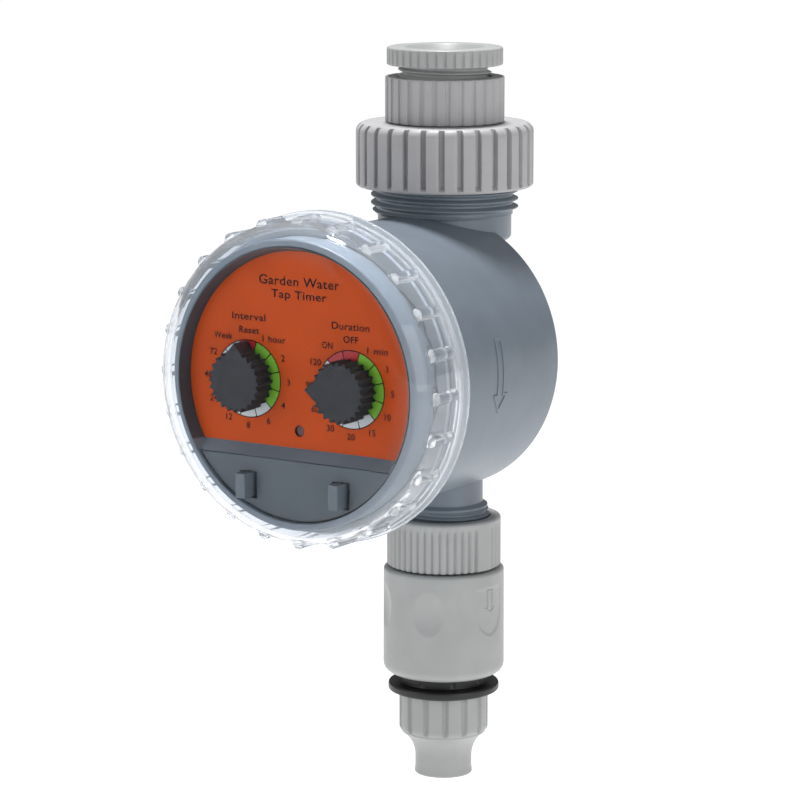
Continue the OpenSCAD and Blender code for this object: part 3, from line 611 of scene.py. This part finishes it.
def make_cover():
    """The clear cover: a rolled front corner, round ribs on its wall and stepped lips behind."""
    wall_in = COVER_R - COVER_WALL
    lip_r = 45.7
    step = 1.5
    rib_low = cover_back + 3.5 * step
    rib_high = rib_low + 10
    rib_r = 1.8
    rib_sink = 0.4
    rib_count = 24
    end = 0.2
    pitch = TURN * COVER_R / rib_count
    sides = [(rib_r * math.sin(math.radians(a)) / pitch, rib_r * math.cos(math.radians(a)) - rib_sink)
             for a in (0, 18, 36, 52, 66, 76)]
    edge = math.sqrt(rib_r ** 2 - rib_sink ** 2) / pitch
    wave = sides + [(edge, 0), (0.33, 0), (0.5, 0), (0.67, 0), (1 - edge, 0)]
    wave += [(1 - share, rise) for share, rise in reversed(sides[1:])]
    angles, rise = ribs(rib_count, wave)
    corner = (COVER_R - COVER_ROUND, cover_front - COVER_ROUND)
    outer = circle_arc(COVER_ROUND, 90, 0, 30, corner)
    inner = circle_arc(COVER_ROUND - COVER_WALL, 0, 90, 12, corner)
    lips = rounded([
        (COVER_R, rib_high - 4, 0), (COVER_R, cover_back + 3 * step, 0.2),
        (lip_r - 0.6, cover_back + 3 * step, 0.35), (lip_r - 0.6, cover_back + 1.8 * step, 0.3),
        (lip_r - 1.2, cover_back + 1.8 * step, 0.2), (lip_r - 1.2, cover_back + step, 0.2),
        (lip_r, cover_back + step, 0.4), (lip_r, cover_back, 0.5), (wall_in, cover_back, 0.2),
    ], 6)
    wall = [(COVER_R, rib_low + end), (COVER_R, rib_low)]
    outline = [(0, cover_front)] + outer + wall + lips[1:] + inner + [(0, cover_front - COVER_WALL)]

    def relief(angle, r, z):
        if r < COVER_R - 1 or not rise(angle):
            return r
        return r + fade(z, rib_low + end, rib_high - end, end) * max(0, COVER_R + rise(angle) - r)

    bm = bmesh.new()
    lathe(bm, dense(outline, 1.6), angles, relief)
    finish("clear_cover_look", bm, IN_DRUM, clear_plastic, "cover", ["clear_cover"], 50)


# ---- Face ----


def segment(radius, chord):
    """Outline of a circle cut off below y = -chord."""
    reach = math.degrees(math.asin(chord / radius))
    return circle_arc(radius, -reach, 180 + reach, 120)


def lower_segment(radius, chord):
    """Outline of the part of a circle below y = -chord."""
    reach = math.degrees(math.asin(chord / radius))
    return circle_arc(radius, 180 + reach, 360 - reach, 80)


def printed(name, loops, lift, material):
    """A thin print on the label: loops in drum coordinates, lift millimetres above the label."""
    place = IN_DRUM @ Matrix.Translation((0, 0, label_front + lift))
    mesh = flat_mesh(name, loops, 0.02, 0, place)
    keep(name, mesh, material, "timer")


def ring_part(centre, inner, outer, start, stop):
    """Outline of a ring segment; angles run clockwise from the top, in degrees."""
    steps = max(2, round(abs(stop - start) / 4))
    return (circle_arc(outer, 90 - start, 90 - stop, steps, centre)
            + circle_arc(inner, 90 - stop, 90 - start, steps, centre))


def make_label():
    """The orange label, and the printed colour rings round its two dials."""
    spindle_hole, led_hole, led_level = 3.6, 1.6, -12.9
    plate = segment(label_r, label_chord)
    holes = [circle_arc(spindle_hole, 0, 354, 59, (x, 0)) for x in (-dial_x, dial_x)]
    holes.append(circle_arc(led_hole, 0, 345, 23, (0, led_level)))
    place = IN_DRUM @ Matrix.Translation((0, 0, label_back))
    mesh = flat_mesh("face_label_look", [plate, *holes], label_front - label_back, 0.05, place)
    keep("face_label_look", mesh, label_orange, "timer", ["face_label"])
    ring_in, ring_out, line, gap = 5, 10.45, 0.3, 0.9
    for side, name, reds in ((-1, "interval", [(345, 375)]), (1, "duration", [(315, 345), (345, 375)])):
        centre = (side * dial_x, 0)
        greens = [(15 + 30 * k, 45 + 30 * k) for k in range(4)]
        first_red = reds[0][0]
        pales = [(a, a + 30) for a in range(135, first_red, 30)]
        for tone, spans, material in (("red", reds, ink_red), ("green", greens, ink_green),
                                      ("pale", pales, ink_pale)):
            loops = [ring_part(centre, ring_in, ring_out, a + gap, b - gap) for a, b in spans]
            printed(f"{name}_ring_{tone}", loops, 0.03, material)
        backing = [circle_arc(radius, 0, 357, 119, centre) for radius in (ring_out + line, ring_in - 0.4)]
        printed(f"{name}_ring_lines", backing, 0.01, ink_dark)


def word(text, x, y, height, width=None):
    """One printed word: its middle at (x, y) on the label, letters height millimetres tall."""
    curve = bpy.data.curves.new("print", "FONT")
    curve.body = text
    curve.align_x = "CENTER"
    curve.align_y = "CENTER"
    curve.size = height / 0.7
    curve.space_character = 1.06
    curve.offset = 0.04
    name = f"print_{len(bpy.data.objects)}"
    mesh = curve_mesh(name, curve, Matrix.Identity(4))
    wide = max(v.co.x for v in mesh.vertices) - min(v.co.x for v in mesh.vertices)
    squeeze = width * MM / wide if width else 1
    place = IN_DRUM @ Matrix.Translation((x, y, label_front + 0.05))
    mesh.transform(Matrix.Scale(squeeze, 4, (1, 0, 0)))
    mesh.transform(Matrix.Scale(MM, 4) @ place @ Matrix.Scale(1 / MM, 4))
    return mesh


def make_print():
    """Numbers and plain words on the label, joined as one piece."""
    words = [("Garden Water", 0, 27.6, 2.5, 26), ("Tap Timer", 0, 24, 2.2, 18),
             ("Interval", -16.4, 17, 1.9, 11), ("Duration", 16.6, 16.9, 1.9, 12),
             ("Reset", -16.4, 13.3, 1.8, 6.6), ("Week", -24.9, 11.2, 1.8, 6.2),
             ("1 hour", -8.4, 11.4, 1.8, 7.6), ("OFF", 16.7, 13.4, 1.8, 4.8),
             ("ON", 9.2, 11.3, 1.8, 3.4), ("1 min", 25, 11, 1.8, 6.6)]
    radius = 12.9
    number_height = 1.75
    for side, numbers in ((-1, "2 3 4 6 8 12 24 48 72"), (1, "3 5 10 15 20 30 60 90 120")):
        for k, number in enumerate(numbers.split()):
            angle = math.radians(90 - 30 * (k + 2))
            x = side * dial_x + radius * math.cos(angle) * 1.03
            words.append((number, x, radius * math.sin(angle), number_height, None))
    bm = bmesh.new()
    for text, x, y, height, width in words:
        mesh = word(text, x, y, height, width)
        bm.from_mesh(mesh)
        bpy.data.meshes.remove(mesh)
    joined = bpy.data.meshes.new("face_print")
    bm.to_mesh(joined)
    bm.free()
    keep("face_print", joined, ink_dark, "timer")


def make_knob(name, side, setting, body):
    """A tall fluted knob whose pointer is turned to its setting, clockwise from the top."""
    radius, tip, reach = 8.5, 10.6, 9
    pattern = [(0, 0), (0.08, 0.12), (0.24, 0.65), (0.4, 0.92),
               (0.5, 1), (0.6, 0.92), (0.76, 0.65), (0.92, 0.12)]
    angles, depth = ribs(24, pattern)
    angles = sorted(set(angles) | {TURN * k / 240 for k in range(240)})

    def edge_radius(angle):
        turn = abs(math.remainder(angle, TURN))
        pointer = 1 / (math.cos(turn) / tip + math.sin(turn) / reach) if turn < 0.9 else 0
        return max(radius - depth(angle), pointer)

    def relief(angle, r, _):
        share = max(0, min(1, (r / radius - 0.55) / 0.35))
        return r * (1 + (edge_radius(angle) / radius - 1) * share)

    outline = dense(rounded([
        (0, knob_front, 0), (radius, knob_front, 0.4), (radius, knob_back, 0.3), (3.1, knob_back, 0),
        (3.1, knob_front - 1.7, 0), (0, knob_front - 1.7, 0),
    ]), 0.9)
    bm = bmesh.new()
    lathe(bm, outline, angles, relief)
    turn = Matrix.Rotation(math.radians(90 - setting), 4, "Z")
    place = IN_DRUM @ Matrix.Translation((side * dial_x, 0, 0)) @ turn
    finish(name + "_look", bm, place, charcoal, body, [name], 40)


def make_tray():
    """The battery door with its two latch slots, and the trough behind it."""
    door_r, chord = 37.2, 20.8
    door = lower_segment(door_r, chord)
    slot_x, half, slot_low, slot_high = 15.1, 2.7, -32.2, -25
    slots = []
    for x in (-slot_x, slot_x):
        left, right = x - half, x + half
        slots.append([(left, slot_low), (right, slot_low), (right, slot_high), (left, slot_high)])
    place = IN_DRUM @ Matrix.Translation((0, 0, door_front - 2))
    mesh = flat_mesh("battery_door_look", [door, *slots], 2, 0.25, place)
    keep("battery_door_look", mesh, face_grey, "tray", ["battery_tray"])
    bm = bmesh.new()
    wide, low, high = 11.8, -33.6, -25.6
    block(bm, (-wide, low, tray_back), (wide, low + 1.1, door_front - 1.5))
    for x in (-wide, wide - 1):
        block(bm, (x, low, tray_back), (x + 1, high, door_front - 1.5))
    trough = finish("battery_trough_look", bm, IN_DRUM, face_grey, "tray")
    soften(trough, 0.3)


# ---- Outlet and hose connector ----


def make_outlet_adapter():
    """The fluted collar with its plain patch, and the nipple below it."""
    radius = 16.46
    _, _, bottom = round_size("outlet_adapter")
    top, low = -134.7, -149.2
    wave = [(k / 8, 0.75 * (1 - math.sin(math.pi * k / 8))) for k in range(8)]
    plain = (math.radians(-11.8), math.radians(10.5))
    angles, depth = ribs(46, wave, plain)
    outline = dense(rounded([
        (radius, top, 0.9), (radius, low, 0.5), (8.4, low, 0), (8.4, -157.4, 0.2), (7.2, -158, 0),
        (7.2, -160.6, 0), (8.4, -161.6, 0), (8.4, -166.5, 0), (6.6, -166.5, 0), (6.6, -169, 0),
        (8.4, -169, 0), (8.4, -171.6, 0), (7.4, bottom, 0.3), (5, bottom, 0), (5, -146.4, 0),
        (G34_BORE_R, -146.4, 0), (G34_BORE_R, top, 0.3),
    ]), 1)
    bm = bmesh.new()
    lathe(bm, outline, angles, lambda angle, r, z: r - depth(angle) * fade(z, -FAR, top - 2, 0.4)
          * fade(r, radius - 0.9, FAR, 0.5))
    finish("outlet_adapter_look", bm, IN_ROW, light_grey, "outlet", ["outlet_adapter"])


FIRST_DIMPLE = math.radians(-73)
DIMPLE_Z = -160.8
SHIELD_TURN = math.radians(5.5)
SHIELD_DEPTH = 0.24


def make_sleeve():
    """The sliding sleeve: a slight taper, four finger dimples and two sunk shields with an arrow."""
    radius, top, bottom = round_size("connector_sleeve")
    shields = {k: FIRST_DIMPLE + k * TURN / 6 + SHIELD_TURN for k in (1, 4)}
    dimples = [FIRST_DIMPLE + k * TURN / 6 for k in range(6) if k not in shields]

    def hollow(angle, z):
        up = z - DIMPLE_Z
        for middle in dimples:
            across = radius * math.remainder(angle - middle, TURN)
            if abs(across) < 4.7:
                return max(0, 1 - (across / 4.6) ** 2 - (up / 6.5) ** 2)
        for middle in shields.values():
            across = radius * math.remainder(angle - middle, TURN)
            if abs(across) < 6:
                half = 5.7 * math.sqrt(max(0, 1 - min(0, up / 7) ** 2))
                return SHIELD_DEPTH * max(0, min(1, (half - abs(across)) / 0.5, (6.8 - up) / 0.5))
        return 0

    def relief(angle, r, z):
        return r if r < radius - 1 else r - hollow(angle, z)

    outline = dense(rounded([
        (radius - 0.1, top, 1), (radius, bottom, 2.8), (15, bottom, 0.4), (15, -161.5, 0), (12.6, -161.5, 0),
        (12.6, -152.5, 0), (9.6, -152.5, 0), (9.6, top, 0.4),
    ], 6), 0.45)
    bm = bmesh.new()
    lathe(bm, outline, even(300), relief)
    finish("connector_sleeve_look", bm, IN_ROW, light_grey, "sleeve",
           ["connector_sleeve"], 60)
    for k, middle in shields.items():

        def on_sleeve(across, up, lift):
            reach = radius - SHIELD_DEPTH + lift
            angle = middle + across / reach
            return (reach * math.cos(angle), reach * math.sin(angle), DIMPLE_Z + 2.6 + up)

        raised_arrow(f"sleeve_arrow_{k}", on_sleeve, 1.2, 2.2, 7, 0.35, 0.09, "sleeve",
                     light_grey)


def make_connector_body():
    """The black connector: its notched neck, its disc and the barb for the hose."""
    disc_r, top, bottom = round_size("connector_body")
    disc_top, disc_low = -184.1, -186.4
    neck_r = 12.2

    def relief(angle, r, z):
        notch = abs(math.remainder(angle * 8, TURN)) < 0.5
        if notch and neck_r - 0.4 < r < neck_r + 0.1 and z > -183.4:
            return r - 0.4
        return r

    outline = dense(rounded([
        (neck_r, top, 0.4), (neck_r, -177, 0), (14.6, -177, 0.2), (14.6, -178.6, 0.2), (neck_r, -178.6, 0),
        (neck_r, disc_top, 0.3), (disc_r, disc_top, 0.6), (disc_r, disc_low, 0.6), (9.4, disc_low, 0),
        (9.4, -196, 0.4), (5.1, -196, 0), (5.1, -200, 0), (5.7, -200, 0), (5.1, -202.6, 0),
        (5.7, -202.6, 0), (4.9, bottom, 0.3), (4, bottom, 0), (4, -173.4, 0), (8.7, -173.4, 0),
        (8.7, top, 0.3),
    ]), 1.2)
    bm = bmesh.new()
    lathe(bm, outline, even(192), relief)
    finish("connector_body_look", bm, IN_ROW, black_plastic, "connector", ["connector_body"])


def make_hose_nut():
    """The grooved hose nut, hollow-curved down to its tail."""
    radius = 12.9
    _, top, bottom = round_size("hose_nut")
    shoulder = -198.4
    tail_r = 8.2
    curve_r = 9
    groove_depth = 0.9
    groove = [(0.66 + 0.34 * k / 8, math.sin(math.pi * k / 8) ** 0.8) for k in range(9)]
    angles, share = ribs(14, [(0.1, 0), (0.25, 0), (0.4, 0), (0.55, 0)] + groove)
    curve_top = shoulder + 1
    hollow = [(tail_r + curve_r - curve_r * math.cos(math.radians(a)),
               curve_top - curve_r + curve_r * math.sin(math.radians(a))) for a in range(0, 57, 7)]
    outline = [(6.4, -199.5), (9.48, -197), (9.48, top), (radius - 0.4, top), (radius, top - 0.5),
               (radius, shoulder + 0.9), (radius - 0.25, shoulder + 0.3), (radius - 0.7, shoulder)]
    outline += list(reversed(hollow))
    outline += [(tail_r, bottom + 2), (tail_r + 0.12, bottom + 0.9), (tail_r + 0.18, bottom + 0.3),
                (tail_r, bottom), (6.7, bottom), (6.7, bottom + 6), (6.4, bottom + 6)]
    bm = bmesh.new()
    lathe(bm, dense(outline, 0.8), angles, lambda angle, r, z: r - groove_depth * share(angle)
          * fade(z, shoulder + 1.1, FAR, 0.5) * fade(r, radius - 0.5, FAR, 0.3))
    finish("hose_nut_look", bm, IN_ROW, light_grey, "tail_nut", ["hose_nut"])


make_reducer_bush()
make_inlet_adapter()
make_union_nut()
make_housing()
make_cover()
make_label()
make_print()
make_knob("interval_knob", -1, 0, "interval_dial")
make_knob("duration_knob", 1, 270, "duration_dial")
make_tray()
make_outlet_adapter()
make_sleeve()
make_connector_body()
make_hose_nut()


# ---- Finish of the CAD nodes that stay in view ----

FINISHES = {
    "rubber_seal": rubber, "white_plastic": white_plastic, "steel": steel, "brass_parts": brass,
    "circuit_green": circuit_green, "black_electronics": black_parts, "cell_jacket": jacket,
    "led_resin": led_resin, "wire_insulation": lead_red, "inner_grey_plastic": inner_grey,
    "blue_grey_plastic": face_grey, "light_grey_plastic": light_grey, "warm_grey_plastic": warm_grey,
    "black_plastic": black_plastic, "charcoal_knob": charcoal, "orange_label": label_orange,
    "clear_plastic": clear_plastic,
}
for row in frame["record"]["subparts"]:
    cad_node = frame["nodes"][row["node"]]
    cad_node.data.materials.clear()
    cad_node.data.materials.append(FINISHES[row["material_slot"]])
own_looks = {
    "control_panel": panel_grey, "latch_left": latch_grey, "latch_right": latch_grey, "cover_seal": seal_grey,
}
for name, finish_material in own_looks.items():
    frame["nodes"][name].data.materials[0] = finish_material
for name in ("latch_left", "latch_right", "interval_switch", "duration_switch", "circuit_board"):
    soften(frame["nodes"][name], 0.25)


# ---- Floor, light and camera ----


def make_floor():
    """A wide pale floor that glows, so that it stays near white."""
    mesh = bpy.data.meshes.new("floor")
    half, level = 12, -0.32
    corners = [(-half, -half, level), (half, -half, level), (half, half, level), (-half, half, level)]
    mesh.from_pydata(corners, [], [(0, 1, 2, 3)])
    floor = bpy.data.objects.new("floor", mesh)
    bpy.context.scene.collection.objects.link(floor)
    material, tree, shader, coordinates = node_material("pale_floor")
    tint(tree, shader, noise(tree, coordinates, 400), (0.22, 0.22, 0.22), (0.26, 0.26, 0.26))
    shader.inputs["Roughness"].default_value = 0.9
    shader.inputs["Emission Color"].default_value = (1, 1, 1, 1)
    shader.inputs["Emission Strength"].default_value = 0.95
    mesh.materials.append(material)


def soft_light(name, place, target, size, power):
    """A square soft light that shines from place to target."""
    lamp = bpy.data.lights.new(name, "AREA")
    lamp.shape = "SQUARE"
    lamp.size = size
    lamp.energy = power
    holder = bpy.data.objects.new(name, lamp)
    bpy.context.scene.collection.objects.link(holder)
    holder.location = place
    holder.rotation_euler = (Vector(target) - Vector(place)).to_track_quat("-Z", "Y").to_euler()


def make_studio():
    """An even world light and three soft lamps."""
    world = bpy.data.worlds.new("studio")
    bpy.context.scene.world = world
    world.use_nodes = True
    world.node_tree.nodes["Background"].inputs["Color"].default_value = (1, 1, 1, 1)
    world.node_tree.nodes["Background"].inputs["Strength"].default_value = 0.2
    middle = (0, -0.04, -0.09)
    soft_light("left_light", (-0.75, -1.0, 0.35), middle, 0.9, 3.5)
    soft_light("right_light", (1.25, -0.35, 0.25), middle, 0.9, 5)
    soft_light("top_light", (-0.17, 0.2, 1.1), middle, 0.2, 20)
    bpy.context.scene.view_settings.view_transform = "Standard"


def make_camera():
    """A long lens at the photograph's viewing angle."""
    data = bpy.data.cameras.new("camera")
    data.lens = 160.44
    data.sensor_width = 36
    data.clip_end = 60
    camera = bpy.data.objects.new("camera", data)
    camera.location = (0.53270, -0.85584, 0.07776)
    camera.rotation_euler = (math.radians(90 - 10.078), 0, math.radians(32.62))
    bpy.context.scene.collection.objects.link(camera)
    bpy.context.scene.camera = camera


make_floor()
make_studio()
make_camera()
